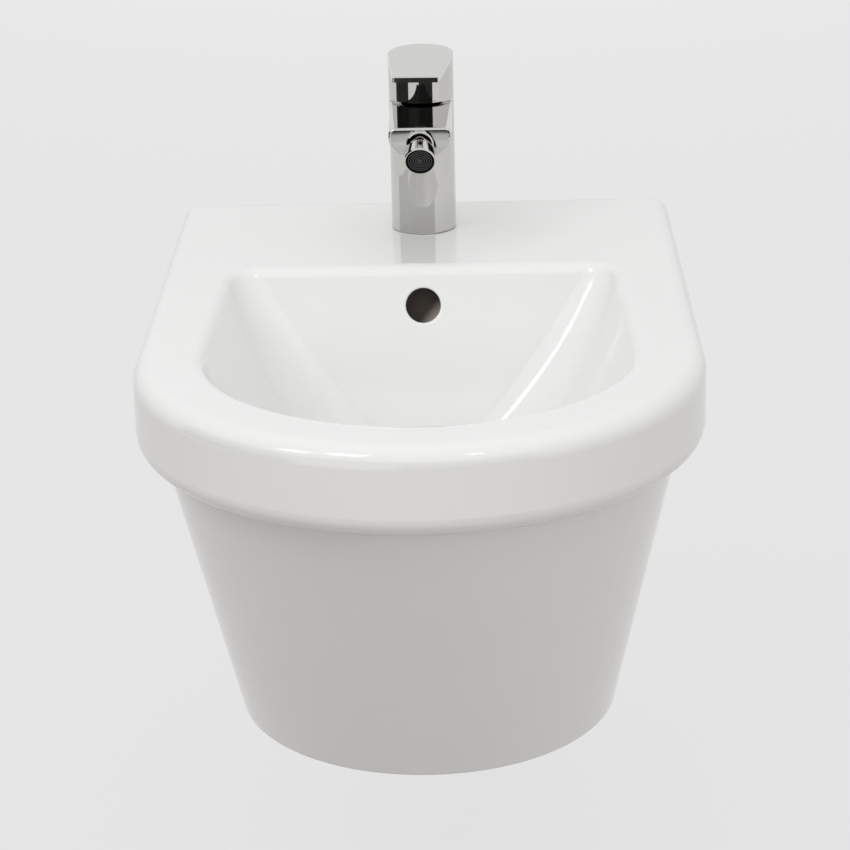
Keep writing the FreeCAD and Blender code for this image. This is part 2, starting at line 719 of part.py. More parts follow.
def clamp_nut():
    low = NUT_TOP - CLAMP_NUT_HEIGHT
    shape = hexagon(CLAMP_NUT_FLATS, low, NUT_TOP).cut(cylinder(STUD_RADIUS, low - 1, NUT_TOP + 1))
    shape.translate(Vector(0, -STUD_REACH, 0))
    return to_deck(shape)


def cartridge_housing():
    shape = cylinder(CARTRIDGE_RADIUS, CARTRIDGE_FOOT, CARTRIDGE_TOP)
    room = GUIDE_FOOT - GUIDE_CLEARANCE
    shape = shape.cut(cylinder(GUIDE_RADIUS + GUIDE_CLEARANCE, room, CARTRIDGE_TOP + 1))
    port = CARTRIDGE_FOOT + CARTRIDGE_PORT_DEPTH
    for side in (-1, 1):
        x = side * INLET_WIDTH / 2
        shape = shape.cut(cylinder(WATERWAY_RADIUS, CARTRIDGE_FOOT - 1, port, x, INLET_REACH))
    return to_deck(shape)


def cartridge_seals():
    radius = WATERWAY_RADIUS + CARTRIDGE_SEAL_WIDTH
    rings = []
    for side in (-1, 1):
        x = side * INLET_WIDTH / 2
        rings.append(ring(radius, WATERWAY_RADIUS, CARTRIDGE_FLOOR, CARTRIDGE_FOOT, x, INLET_REACH))
    return to_deck(Part.makeCompound(rings))


def cartridge_nut():
    return to_deck(ring(RING_NUT_RADIUS, RING_NUT_BORE_RADIUS, CARTRIDGE_TOP, MIXER_TOP))


def cartridge_dome():
    centre = Vector(0, 0, PIVOT_HEIGHT)
    shape = Part.makeSphere(DOME_RADIUS, centre).cut(Part.makeSphere(DOME_RADIUS - DOME_WALL, centre))
    shape = shape.common(cylinder(DOME_RADIUS, MIXER_TOP, MIXER_TOP + DOME_RADIUS))
    return to_deck(shape.cut(cylinder(DOME_MOUTH_RADIUS, MIXER_TOP - 1, MIXER_TOP + DOME_RADIUS)))


def across(radius, length):
    return Part.makeCylinder(radius, length, Vector(-length / 2, 0, PIVOT_HEIGHT), Vector(1, 0, 0))


def stem_guide():
    half = STEM_SIDE / 2 + STEM_CLEARANCE
    shape = cylinder(GUIDE_RADIUS, GUIDE_FOOT, GUIDE_TOP)
    shape = shape.cut(block(half, -GUIDE_SLOT_REACH, GUIDE_SLOT_REACH, GUIDE_FOOT - 1, GUIDE_TOP + 1))
    return turned_to_deck(shape.cut(across(PIN_RADIUS, 2 * GUIDE_RADIUS + 2)))


def stem_pin():
    return turned_to_deck(across(PIN_RADIUS, PIN_LENGTH))


def lever_stem():
    half = STEM_SIDE / 2
    shape = block(half, -half, half, STEM_FOOT, STEM_TOP)
    return turned_to_deck(shape.cut(across(PIN_RADIUS + PIN_CLEARANCE, STEM_SIDE + 2)))


def lever_outline():
    """Plan of the cap and its paddle, which narrows towards the tip."""
    tip = LEVER_TIP_WIDTH / 2
    points = [Vector(MIXER_RADIUS, 0, 0), Vector(tip, -LEVER_REACH, 0),
              Vector(-tip, -LEVER_REACH, 0), Vector(-MIXER_RADIUS, 0, 0)]
    return Part.Wire([
        line(points[0], points[1]),
        line(points[1], points[2]),
        line(points[2], points[3]),
        arc(points[3], Vector(0, MIXER_RADIUS, 0), points[0]),
    ])


def sloping_slab(above):
    """Half space below the lever's sloping top, lowered or raised."""
    size = 4 * LEVER_REACH
    shape = Part.makeBox(size, size, size, Vector(-size / 2, -size / 2, -size))
    shape.rotate(Vector(0, 0, 0), Vector(1, 0, 0), LEVER_SLOPE)
    shape.translate(Vector(0, 0, LEVER_TOP + above))
    return shape


def lever_handle():
    top = LEVER_TOP + MIXER_RADIUS
    paddle = Part.Face(lever_outline()).extrude(Vector(0, 0, top))
    uprights = [edge for edge in paddle.Edges if edge.Length > top - 0.01]
    tips = [edge for edge in uprights if edge.BoundBox.YMax < 1 - LEVER_REACH]
    paddle = paddle.makeFillet(LEVER_TIP_CORNER, tips)
    paddle = paddle.common(sloping_slab(0)).cut(sloping_slab(-LEVER_TIP_THICKNESS))
    cap = cylinder(MIXER_RADIUS, LEVER_FOOT, top).common(sloping_slab(0))
    shape = cap.fuse(paddle).removeSplitter()
    shape = shape.makeFillet(LEVER_EDGE_ROUND, lever_top_edges(shape))
    shape = shape.cut(Part.makeSphere(DOME_RADIUS + LEVER_ROOM, Vector(0, 0, PIVOT_HEIGHT)))
    shape = shape.cut(rear_clearance())
    half = STEM_SIDE / 2
    shape = shape.cut(block(half, -half, half, LEVER_FOOT - 1, STEM_TOP))
    shape = shape.cut(forward(SCREW_RADIUS, -MIXER_RADIUS - 1, 0, SCREW_HEIGHT))
    cap_front = SCREW_CAP_LENGTH - MIXER_RADIUS
    return turned_to_deck(shape.cut(forward(SCREW_CAP_RADIUS, -MIXER_RADIUS - 1, cap_front, SCREW_HEIGHT)))


def lever_top_edges(shape):
    """Edges round the lever's sloping top."""
    slope = math.tan(math.radians(LEVER_SLOPE))
    chosen = []
    for edge in shape.Edges:
        heights = [corner.Z - corner.Y * slope for corner in edge.Vertexes]
        if max(abs(height - LEVER_TOP) for height in heights) < 0.01:
            chosen.append(edge)
    return chosen


def rear_clearance():
    """Wedge taken from the back of the cap, so that the lifted lever clears the body."""
    size = 4 * MIXER_RADIUS
    shape = Part.makeBox(size, size, size, Vector(-size / 2, 0, -size))
    shape.rotate(Vector(0, 0, 0), Vector(1, 0, 0), LEVER_LIFT + LEVER_LIFT_ROOM)
    shape.translate(Vector(0, 0, LEVER_FOOT))
    return shape


def lever_screw():
    back = -STEM_SIDE / 2 - SCREW_LENGTH
    shape = forward(SCREW_RADIUS, back, back + SCREW_LENGTH, SCREW_HEIGHT)
    socket = forward(SCREW_SOCKET_RADIUS, back - 1, back + SCREW_SOCKET_DEPTH, SCREW_HEIGHT)
    return turned_to_deck(shape.cut(socket))


def lever_screw_cap():
    back = -math.sqrt(MIXER_RADIUS ** 2 - SCREW_CAP_RADIUS ** 2)
    return turned_to_deck(forward(SCREW_CAP_RADIUS, back, SCREW_CAP_LENGTH - MIXER_RADIUS, SCREW_HEIGHT))


def ball_centre():
    return Vector(0, -BALL_REACH, BALL_HEIGHT)


def from_ball(radius, low, high):
    """Cylinder along the spout, measured from the centre of the ball."""
    return forward(radius, BALL_REACH + low, BALL_REACH + high, BALL_HEIGHT)


def drop_nozzle(shape):
    shape.rotate(ball_centre(), Vector(1, 0, 0), NOZZLE_DROP)
    return to_deck(shape)


def ball_seal():
    low = -SOCKET_BACK
    high = low + BALL_SEAL_THICKNESS
    shape = from_ball(SOCKET_RADIUS, low, high)
    return to_deck(shape.cut(from_ball(BALL_SEAL_BORE_RADIUS, low - 1, high + 1)))


def ball_seat():
    low = BALL_SEAL_THICKNESS - SOCKET_BACK + SEAT_CLEARANCE
    shape = from_ball(SOCKET_RADIUS - SEAT_CLEARANCE, low, SEAT_FRONT)
    shape = shape.cut(from_ball(SOCKET_PASSAGE_RADIUS, low - 1, SEAT_FRONT + 1))
    return to_deck(shape.cut(Part.makeSphere(BALL_RADIUS + BALL_CLEARANCE, ball_centre())))


def ball_retainer():
    front = from_ball(RETAINER_RADIUS, SOCKET_FACE, 2 * RETAINER_SPHERE)
    front = front.common(Part.makeSphere(RETAINER_SPHERE, ball_centre()))
    shape = from_ball(SOCKET_RADIUS, RETAINER_BACK, SOCKET_FACE).fuse(front)
    shape = shape.cut(Part.makeSphere(BALL_RADIUS + BALL_CLEARANCE, ball_centre()))
    point = ball_centre() + Vector(0, cone_shift(), 0)
    throat = Part.makeCone(0, 2 * RETAINER_MOUTH_RADIUS, cone_length(), point, Vector(0, -1, 0))
    return to_deck(shape.cut(throat))


def cone_shift():
    """How far behind the ball's centre the throat's cone would come to a point."""
    return NECK_RADIUS / math.sin(math.radians(NOZZLE_CONE))


def cone_length():
    return 2 * RETAINER_MOUTH_RADIUS / math.tan(math.radians(NOZZLE_CONE + THROAT_ROOM))


def turned(profile):
    """Solid turned about the nozzle's axis from (distance, radius) points."""
    points = [ball_centre() + Vector(radius, -distance, 0) for distance, radius in profile]
    face = Part.Face(Part.makePolygon(points + points[:1]))
    return face.revolve(ball_centre(), Vector(0, 1, 0), 360)


def nozzle_shell():
    shape = turned([
        (0, NECK_RADIUS), (0, NOZZLE_BACK_RADIUS), (NOZZLE_LENGTH - NOZZLE_LIP, NOZZLE_FRONT_RADIUS),
        (NOZZLE_LENGTH, NOZZLE_FRONT_RADIUS - NOZZLE_LIP), (NOZZLE_LENGTH, AERATOR_RADIUS),
        (AERATOR_SEAT, AERATOR_RADIUS), (AERATOR_SEAT, NECK_RADIUS),
    ])
    return drop_nozzle(shape.cut(Part.makeSphere(NOZZLE_SPHERE, ball_centre())))


def nozzle_ball():
    shape = Part.makeSphere(BALL_RADIUS, ball_centre()).fuse(from_ball(NECK_RADIUS, 0, NECK_LENGTH))
    return drop_nozzle(shape.cut(from_ball(NECK_BORE_RADIUS, -BALL_RADIUS - 1, NECK_LENGTH + 1)))


def aerator_washer():
    high = AERATOR_SEAT + AERATOR_WASHER_THICKNESS
    shape = from_ball(AERATOR_RADIUS, AERATOR_SEAT, high)
    return drop_nozzle(shape.cut(from_ball(AERATOR_WASHER_BORE_RADIUS, AERATOR_SEAT - 1, high + 1)))


def aerator_insert():
    low = AERATOR_SEAT + AERATOR_WASHER_THICKNESS
    high = NOZZLE_LENGTH - AERATOR_SETBACK
    shape = from_ball(AERATOR_RADIUS, low, high)
    radius = AERATOR_RADIUS - AERATOR_RING_PITCH / 2
    while radius > AERATOR_RING_PITCH:
        groove = from_ball(radius, high - AERATOR_RING_DEPTH, high + 1)
        groove = groove.cut(from_ball(radius - AERATOR_RING_GROOVE, high - AERATOR_RING_DEPTH - 1, high + 2))
        shape = shape.cut(groove)
        radius -= AERATOR_RING_PITCH
    return drop_nozzle(shape)


PIECES = (
    ceramic_rim, ceramic_bowl, ceramic_casing, ceramic_back, ceramic_duct,
    wall_fixing_sleeves, wall_fixing_washers, wall_fixing_nuts,
    waste_body, waste_flange_seal, waste_under_seal, waste_lock_nut, plug_guide,
    waste_plug, plug_stem, plug_seal,
    mixer_body, mixer_base_gasket, mixer_stud, clamp_gasket, clamp_plate, clamp_nut,
    cartridge_housing, cartridge_seals, cartridge_nut, cartridge_dome, stem_guide, stem_pin,
    lever_stem, lever_handle, lever_screw, lever_screw_cap,
    ball_seal, ball_seat, ball_retainer, nozzle_ball, nozzle_shell, aerator_washer, aerator_insert,
)


def main():
    os.makedirs("parts", exist_ok=True)
    for piece in PIECES:
        shape = piece()
        print(piece.__name__, shape.isValid(), len(shape.Solids), round(shape.Volume / 1000, 2), "cm3")
        shape.exportStep("parts/" + piece.__name__ + ".step")


if __name__ == "__main__":
    main()
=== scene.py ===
import json
import math

import bpy
from mathutils import Matrix, Vector


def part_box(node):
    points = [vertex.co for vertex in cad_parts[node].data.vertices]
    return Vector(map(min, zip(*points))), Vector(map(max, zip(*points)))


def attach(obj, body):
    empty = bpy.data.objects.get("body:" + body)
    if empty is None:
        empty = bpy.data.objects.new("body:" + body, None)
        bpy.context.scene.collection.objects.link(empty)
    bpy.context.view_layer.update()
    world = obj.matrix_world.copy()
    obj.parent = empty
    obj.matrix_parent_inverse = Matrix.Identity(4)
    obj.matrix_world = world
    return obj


# Wall-hung china bidet with a chromed single-lever mixer, in metres.
# The wall is the plane y = 0, the front faces -Y and the rim's top is 80 mm above the origin.

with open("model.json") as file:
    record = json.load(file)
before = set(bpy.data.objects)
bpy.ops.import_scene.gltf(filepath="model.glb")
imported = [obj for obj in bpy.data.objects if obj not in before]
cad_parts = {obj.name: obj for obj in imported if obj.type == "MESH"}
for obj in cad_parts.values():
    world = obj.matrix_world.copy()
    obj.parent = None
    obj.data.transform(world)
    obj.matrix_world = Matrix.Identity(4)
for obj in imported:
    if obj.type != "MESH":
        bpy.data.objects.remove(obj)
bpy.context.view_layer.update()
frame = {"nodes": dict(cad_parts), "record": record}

MM = 0.001

# China: the levels that part its glazed faces from its bare ones.
# A face inside the hollow looks at the middle, and one below the bowl or the deck looks down.
FOOT_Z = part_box("ceramic_casing")[0][2]
RIM_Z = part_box("ceramic_rim")[1][2]
DECK_THICKNESS = 16 * MM
BARE_EDGE = 0.4 * MM
MIDDLE_OUT = 260 * MM
INWARD_REACH = 60 * MM
ROOF_NORMAL_Z = -0.9
UNDERSIDE_NORMAL_Z = -0.03

# Overflow: depths are taken along y, behind the plane of the bowl's sloping back wall through z = 0
BACK_SLOPE = 0.35
DUCT_HALF_WIDTH = 14.4 * MM
DUCT_TOP = RIM_Z - 9.5 * MM
# Painted shade: china faces at this depth behind the back wall, within this reach, are painted dark for the
# little light in the deep duct
DUCT_DEPTH = -168 * MM
DUCT_REACH = 10 * MM
MOUTH_DEPTH = -184.5 * MM
MOUTH_REACH = 6.4 * MM
HOLE_CENTRE = (0, 0, RIM_Z - 26 * MM)
# Painted light: the duct is left pale on one side of the hole, along this way and between these distances
# from its centre, for light on the hole's inner wall
LIT_PATCH_WAY = (0.75, 0, -0.66)
LIT_PATCH_START = 8.5 * MM
LIT_PATCH_END = 18 * MM

# Threads: pitch, the ridge's radius as a share of it, and how many points go round
STUD_PITCH = 1.25 * MM
TAIL_PITCH = 2.31 * MM
RIDGE_SHARE = 0.34
POINTS_PER_TURN = 28
RIDGE_SIDES = 6

# Aerator: its face as far from the ball's centre, the painted light on its lands, and the ribs across its
# grooves
AERATOR_FACE = 23.4 * MM
LIT_LAND_DEPTH = 0.2 * MM
LIT_LAND_RADIUS = 8.7 * MM
AERATOR_RIBS = 44
RIB_INNER = 1.6 * MM
RIB_OUTER = 9.7 * MM
RIB_WIDTH = 0.3 * MM
RIB_DEPTH = 0.8 * MM
RIB_SETBACK = 0.7 * MM

# Camera: where it stands, which way it looks in degrees, and its lens in millimetres
CAMERA_PLACE = (35.4 * MM, -1999.5 * MM, 647.5 * MM)
CAMERA_TURN = -1.13
CAMERA_DROP = 20.46
CAMERA_ROLL = 1.33
CAMERA_LENS = 116.7
CAMERA_SENSOR = 36
CAMERA_SIGHT = 100

# Room: a floor below the wall-hung part, how white it looks, and the world's light as thrown and as seen
FLOOR_Z = -354 * MM
FLOOR_SIZE = 60.0
FLOOR_GLOW = 0.95
FLOOR_GLOW_SHARE = 0.75
WORLD_THROWN = 0.58
WORLD_SEEN = 0.88

# Dark cards: each is a fan between two bearings in degrees, along a profile of distances and heights
CARD_STEPS = 6
CARD_NEAR = 2.05
CARD_FAR = 4.0
CARD_FLOOR = FLOOR_Z + 1 * MM
CARD_LOW = 0.6
CARD_HIGH = 1.6
FOLDED = [(CARD_NEAR, CARD_FLOOR), (CARD_FAR, CARD_FLOOR), (CARD_FAR, CARD_HIGH)]
UPRIGHT = [(CARD_FAR, CARD_LOW), (CARD_FAR, CARD_HIGH)]
CARDS = [
    ("card_left", -96, -44, "#0C0C0C", FOLDED),
    ("card_middle", -44, -7, "#2C2C2C", UPRIGHT),
    ("card_front", -7, 40, "#0C0C0C", FOLDED),
]

# Lamps: place, the point that each faces, its side in metres, and watts
BROAD_LAMPS = [
    ("overhead", (0, -0.8, 2.8), (0, -0.3, 0), 3.0, 11.5),
    ("front", (0.05, -2.8, 1.3), (0, -0.25, 0), 2.0, 10.5),
    ("side", (1.9, -1.4, 0.12), (0, -0.25, -0.05), 0.9, 3.9),
    ("rear", (0, 3.6, 0.7), (0, 0, 0), 2.0, 24),
    ("high_left", (-1.4, -1.4, 1.9), (0, -0.25, 0), 0.5, 4.8),
]
MIRRORED_LAMPS = [
    ("key", (-0.95, -1.75, 2.05), (0, -0.25, 0), 0.55, 4.5),
    ("left", (-1.55, -1.46, 1.6), (0, -0.25, 0), 0.45, 2.8),
    ("fill", (0.8, -1.9, 2.0), (0, -0.25, 0), 0.25, 1.4),
]


def linear(hex_colour):
    """An sRGB hex value as the linear colour that a shader takes."""
    channels = [int(hex_colour[k:k + 2], 16) / 255 for k in (1, 3, 5)]
    return [c / 12.92 if c <= 0.04045 else ((c + 0.055) / 1.055) ** 2.4 for c in channels] + [1.0]


def add(tree, kind, inputs=None, **settings):
    """Adds a node with its settings, and sets its inputs or links them.
    A node given as an input stands for its first output in use."""
    made = tree.nodes.new(kind)
    for name, value in settings.items():
        setattr(made, name, value)
    for name, value in (inputs or {}).items():
        if isinstance(value, bpy.types.Node):
            value = next(output for output in value.outputs if output.enabled)
        if isinstance(value, bpy.types.NodeSocket):
            tree.links.new(value, made.inputs[name])
        else:
            made.inputs[name].default_value = value
    return made


def new_material(name):
    """A material with an empty tree."""
    material = bpy.data.materials.new(name)
    material.use_nodes = True
    material.node_tree.nodes.clear()
    return material, material.node_tree


def end_material(tree, inputs):
    """Ends a material in one principled shader."""
    shader = add(tree, "ShaderNodeBsdfPrincipled", inputs)
    add(tree, "ShaderNodeOutputMaterial", {"Surface": shader})


def place_on(tree):
    """The place of each point of a piece, which is its place in the frame at rest."""
    return add(tree, "ShaderNodeTexCoord").outputs["Object"]


def per_metre(size_mm):
    """Texture scale for a pattern whose cells are about this wide."""
    return 1 / (size_mm * MM)


def bands_per_metre(size_mm):
    """Wave texture scale for bands of this pitch, since at scale 1 they are a tenth of pi apart."""
    return math.pi / 10 * per_metre(size_mm)


def hidden_faces(tree):
    """One on the faces that look into the hollow, on the wall face and on the foot, nought elsewhere."""
    where = place_on(tree)
    place = add(tree, "ShaderNodeSeparateXYZ", {"Vector": where}).outputs
    normal = add(tree, "ShaderNodeNewGeometry").outputs["Normal"]
    upright = add(tree, "ShaderNodeSeparateXYZ", {"Vector": normal}).outputs["Z"]
    middle = add(tree, "ShaderNodeVectorMath", {0: where, 1: (0, MIDDLE_OUT, 0)}, operation="ADD")
    level = add(tree, "ShaderNodeVectorMath", {0: middle, 1: (1, 1, 0)}, operation="MULTIPLY")
    facing = add(tree, "ShaderNodeVectorMath", {0: normal, 1: level}, operation="DOT_PRODUCT")
    inward = add(tree, "ShaderNodeMath", {0: facing, 1: -INWARD_REACH}, operation="LESS_THAN")
    wall = add(tree, "ShaderNodeMath", {0: place["Y"], 1: -BARE_EDGE}, operation="GREATER_THAN")
    foot = add(tree, "ShaderNodeMath", {0: place["Z"], 1: FOOT_Z + BARE_EDGE}, operation="LESS_THAN")
    under = add(tree, "ShaderNodeMath", {0: upright, 1: ROOF_NORMAL_Z}, operation="LESS_THAN")
    deck_low = RIM_Z - DECK_THICKNESS - BARE_EDGE
    deck = add(tree, "ShaderNodeMath", {0: place["Z"], 1: deck_low}, operation="GREATER_THAN")
    roof = add(tree, "ShaderNodeMath", {0: under, 1: deck}, operation="MULTIPLY")
    bare = inward
    for other in (wall, foot, roof):
        bare = add(tree, "ShaderNodeMath", {0: bare, 1: other}, operation="MAXIMUM")
    return bare


def underside(tree):
    """One on faces that look down, nought elsewhere."""
    normal = add(tree, "ShaderNodeNewGeometry").outputs["Normal"]
    upright = add(tree, "ShaderNodeSeparateXYZ", {"Vector": normal}).outputs["Z"]
    return add(tree, "ShaderNodeMath", {0: upright, 1: UNDERSIDE_NORMAL_Z}, operation="LESS_THAN")


def near_overflow(tree, where, depth, reach):
    """One across the overflow's width at a depth behind the sloping back wall, nought elsewhere."""
    place = add(tree, "ShaderNodeSeparateXYZ", {"Vector": where}).outputs
    sloped = add(tree, "ShaderNodeMath", {0: place["Z"], 1: -BACK_SLOPE, 2: place["Y"]},
                 operation="MULTIPLY_ADD")
    deep = add(tree, "ShaderNodeMath", {0: sloped, 1: depth, 2: reach}, operation="COMPARE")
    beside = add(tree, "ShaderNodeMath", {0: place["X"], 1: 0, 2: DUCT_HALF_WIDTH}, operation="COMPARE")
    below = add(tree, "ShaderNodeMath", {0: place["Z"], 1: DUCT_TOP}, operation="LESS_THAN")
    both = add(tree, "ShaderNodeMath", {0: deep, 1: beside}, operation="MULTIPLY")
    return add(tree, "ShaderNodeMath", {0: both, 1: below}, operation="MULTIPLY")


def painted_duct_shade(tree, where):
    """One inside the duct, where its depth is painted as shade, less on the side of the hole where a painted
    lit patch stands for light on its inner wall.
    """
    inside = near_overflow(tree, where, DUCT_DEPTH, DUCT_REACH)
    # Painted light: the painted shade is taken off on one side of the hole, as a pale lit patch
    from_hole = add(tree, "ShaderNodeVectorMath", {0: where, 1: HOLE_CENTRE}, operation="SUBTRACT")
    aside = add(tree, "ShaderNodeVectorMath", {0: from_hole, 1: LIT_PATCH_WAY}, operation="DOT_PRODUCT")
    lit_patch = add(tree, "ShaderNodeMapRange", {"Value": aside, "From Min": LIT_PATCH_START,
                                           "From Max": LIT_PATCH_END}, interpolation_type="SMOOTHSTEP")
    return add(tree, "ShaderNodeMath", {0: inside, 1: lit_patch}, operation="SUBTRACT", use_clamp=True)


def vitreous_china(name, bare_faces=None):
    """Slip-cast china: clean white and wet under its fired glaze, with a slow faint wave where that ran.
    Faces that were left bare, or all of them if none are named, are matt, creamy and sandy.
    Faces inside the overflow duct are painted dark brown, as painted shade of its depth."""
    material, tree = new_material(name)
    where = place_on(tree)
    duct_shade = painted_duct_shade(tree, where)
    mouth = near_overflow(tree, where, MOUTH_DEPTH, MOUTH_REACH)
    chosen = bare_faces(tree) if bare_faces else 1.0
    raw = add(tree, "ShaderNodeMath", {0: chosen, 1: mouth}, operation="SUBTRACT", use_clamp=True)
    bare = add(tree, "ShaderNodeMath", {0: raw, 1: duct_shade}, operation="MAXIMUM")
    flow = add(tree, "ShaderNodeTexNoise", {"Vector": where, "Scale": per_metre(70), "Detail": 1.0})
    cloud = add(tree, "ShaderNodeTexNoise", {"Vector": where, "Scale": per_metre(140), "Detail": 2.0})
    # The sand of bare china is finer than this, which is drawn coarse enough to show
    sand = add(tree, "ShaderNodeTexNoise", {"Vector": where, "Scale": per_metre(1.5), "Detail": 4.0})
    glaze = add(tree, "ShaderNodeMix", {"Factor": cloud, "A": linear("#F2F2F1"), "B": linear("#F6F6F5")},
                data_type="RGBA")
    biscuit = add(tree, "ShaderNodeMix", {"Factor": sand, "A": linear("#D6CDBC"), "B": linear("#EAE3D6")},
                  data_type="RGBA")
    # Painted shade: a dark brown inside the duct
    shaded_biscuit = add(tree, "ShaderNodeMix", {"Factor": duct_shade, "A": biscuit, "B": linear("#564F49")},
                  data_type="RGBA")
    colour = add(tree, "ShaderNodeMix", {"Factor": bare, "A": glaze, "B": shaded_biscuit}, data_type="RGBA")
    gloss = add(tree, "ShaderNodeMapRange", {"Value": cloud, "To Min": 0.05, "To Max": 0.09})
    rough = add(tree, "ShaderNodeMix", {"Factor": bare, "A": gloss, "B": 0.82}, data_type="FLOAT")
    wave = add(tree, "ShaderNodeBump", {"Height": flow, "Distance": 0.25 * MM, "Strength": 0.5})
    grit = add(tree, "ShaderNodeBump", {"Height": sand, "Distance": 0.3 * MM, "Strength": bare,
                                        "Normal": wave})
    end_material(tree, {"Base Color": colour, "Roughness": rough, "Normal": grit, "IOR": 1.52})
    return material


def chrome_plate():
    """Chrome plate on polished brass: a neutral mirror, with a faint haze where hands have been."""
    material, tree = new_material("polished_chrome_plate")
    where = place_on(tree)
    haze = add(tree, "ShaderNodeTexNoise", {"Vector": where, "Scale": per_metre(18), "Detail": 3.0})
    rough = add(tree, "ShaderNodeMapRange", {"Value": haze, "To Min": 0.025, "To Max": 0.06})
    end_material(tree, {"Base Color": linear("#D2D1CE"), "Metallic": 1.0, "Roughness": rough})
    return material


def turned_brass():
    """Brass off the lathe: warm yellow, with fine rings from the tool and a dull film in patches."""
    material, tree = new_material("turned_brass")
    where = place_on(tree)
    # The tool's feed is finer than these rings, which are drawn coarse enough to show
    rings = add(tree, "ShaderNodeTexWave", {"Vector": where, "Scale": bands_per_metre(0.9),
                                            "Distortion": 0.3}, bands_direction="Z")
    mottle = add(tree, "ShaderNodeTexNoise", {"Vector": where, "Scale": per_metre(6), "Detail": 3.0})
    colour = add(tree, "ShaderNodeMix", {"Factor": mottle, "A": linear("#A27E3F"), "B": linear("#CDA962")},
                 data_type="RGBA")
    rough = add(tree, "ShaderNodeMapRange", {"Value": mottle, "To Min": 0.4, "To Max": 0.2})
    grooves = add(tree, "ShaderNodeBump", {"Height": rings.outputs["Fac"], "Distance": 0.05 * MM,
                                           "Strength": 0.4})
    end_material(tree, {"Base Color": colour, "Metallic": 1.0, "Roughness": rough, "Normal": grooves})
    return material


def rolled_steel():
    """Stainless steel from rolled stock: cool grey, with a fine grain along the rolling."""
    material, tree = new_material("rolled_stainless_steel")
    where = place_on(tree)
    stretch = add(tree, "ShaderNodeMapping", {"Vector": where, "Scale": (1, 1, 0.06)})
    # The grain of rolled steel is finer than this, which is drawn coarse enough to show
    grain = add(tree, "ShaderNodeTexNoise", {"Vector": stretch, "Scale": per_metre(0.8), "Detail": 3.0})
    colour = add(tree, "ShaderNodeMix", {"Factor": grain, "A": linear("#949698"), "B": linear("#BCBDBF")},
                 data_type="RGBA")
    rough = add(tree, "ShaderNodeMapRange", {"Value": grain, "To Min": 0.22, "To Max": 0.42})
    scratches = add(tree, "ShaderNodeBump", {"Height": grain, "Distance": 0.03 * MM, "Strength": 0.3})
    end_material(tree, {"Base Color": colour, "Metallic": 1.0, "Roughness": rough, "Normal": scratches})
    return material


def moulded(name, dark, light, grain_mm, gloss_range, relief_mm, specular=0.5):
    """A moulded rubber or plastic: nearly even in colour, with the tool's soft grain in gloss and relief."""
    material, tree = new_material(name)
    where = place_on(tree)
    smooth, dull = gloss_range
    # The grain of a moulding tool is finer than this, which is drawn coarse enough to show
    grain = add(tree, "ShaderNodeTexNoise", {"Vector": where, "Scale": per_metre(grain_mm), "Detail": 4.0})
    bloom = add(tree, "ShaderNodeTexNoise", {"Vector": where, "Scale": per_metre(12), "Detail": 2.0})
    colour = add(tree, "ShaderNodeMix", {"Factor": bloom, "A": linear(dark), "B": linear(light)},
                 data_type="RGBA")
    rough = add(tree, "ShaderNodeMapRange", {"Value": grain, "To Min": smooth, "To Max": dull})
    relief = add(tree, "ShaderNodeBump", {"Height": grain, "Distance": relief_mm * MM, "Strength": 0.35})
    end_material(tree, {"Base Color": colour, "Roughness": rough, "Normal": relief,
                        "Specular IOR Level": specular})
    return material


def aerator_axis():
    """The centre of the nozzle's ball, and the way that the nozzle points from it."""
    ball = next(Vector(joint["pos_m"]) for joint in frame["record"]["behaviour"]["joints"]
                if joint["name"] == "nozzle_tilt")
    low, high = (Vector(corner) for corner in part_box("aerator_insert"))
    return ball, ((low + high) / 2 - ball).normalized()


def painted_rings_acetal():
    """Black acetal from a fine mould: the lands of its rings are painted grey, as painted light on their
    tops.
    Its grooves are black, and its outer land is left black as painted shade under the lip."""
    material, tree = new_material("moulded_black_acetal_with_film")
    where = place_on(tree)
    ball, ahead = aerator_axis()
    out = add(tree, "ShaderNodeVectorMath", {0: where, 1: ball}, operation="SUBTRACT")
    along = add(tree, "ShaderNodeVectorMath", {0: out, 1: ahead}, operation="DOT_PRODUCT")
    front = add(tree, "ShaderNodeMath", {0: along, 1: AERATOR_FACE - LIT_LAND_DEPTH}, operation="GREATER_THAN")
    across = add(tree, "ShaderNodeVectorMath", {0: out, 1: ahead}, operation="CROSS_PRODUCT")
    radius = add(tree, "ShaderNodeVectorMath", {0: across}, operation="LENGTH")
    middle = add(tree, "ShaderNodeMath", {0: radius, 1: LIT_LAND_RADIUS}, operation="LESS_THAN")
    land = add(tree, "ShaderNodeMath", {0: front, 1: middle}, operation="MULTIPLY")
    # The painted grey is speckled, with specks drawn coarse enough to show
    specks = add(tree, "ShaderNodeTexNoise", {"Vector": where, "Scale": per_metre(1.1), "Detail": 3.0})
    mottle = add(tree, "ShaderNodeMix", {"Factor": specks, "A": linear("#333334"), "B": linear("#545455")},
               data_type="RGBA")
    # Painted light: grey lands for light on the ring tops; the grooves and the outer land, in the lip's
    # shade, stay black
    colour = add(tree, "ShaderNodeMix", {"Factor": land, "A": linear("#040404"), "B": mottle},
                 data_type="RGBA")
    rough = add(tree, "ShaderNodeMapRange", {"Value": specks, "To Min": 0.3, "To Max": 0.55})
    end_material(tree, {"Base Color": colour, "Roughness": rough, "Specular IOR Level": 0.12})
    return material


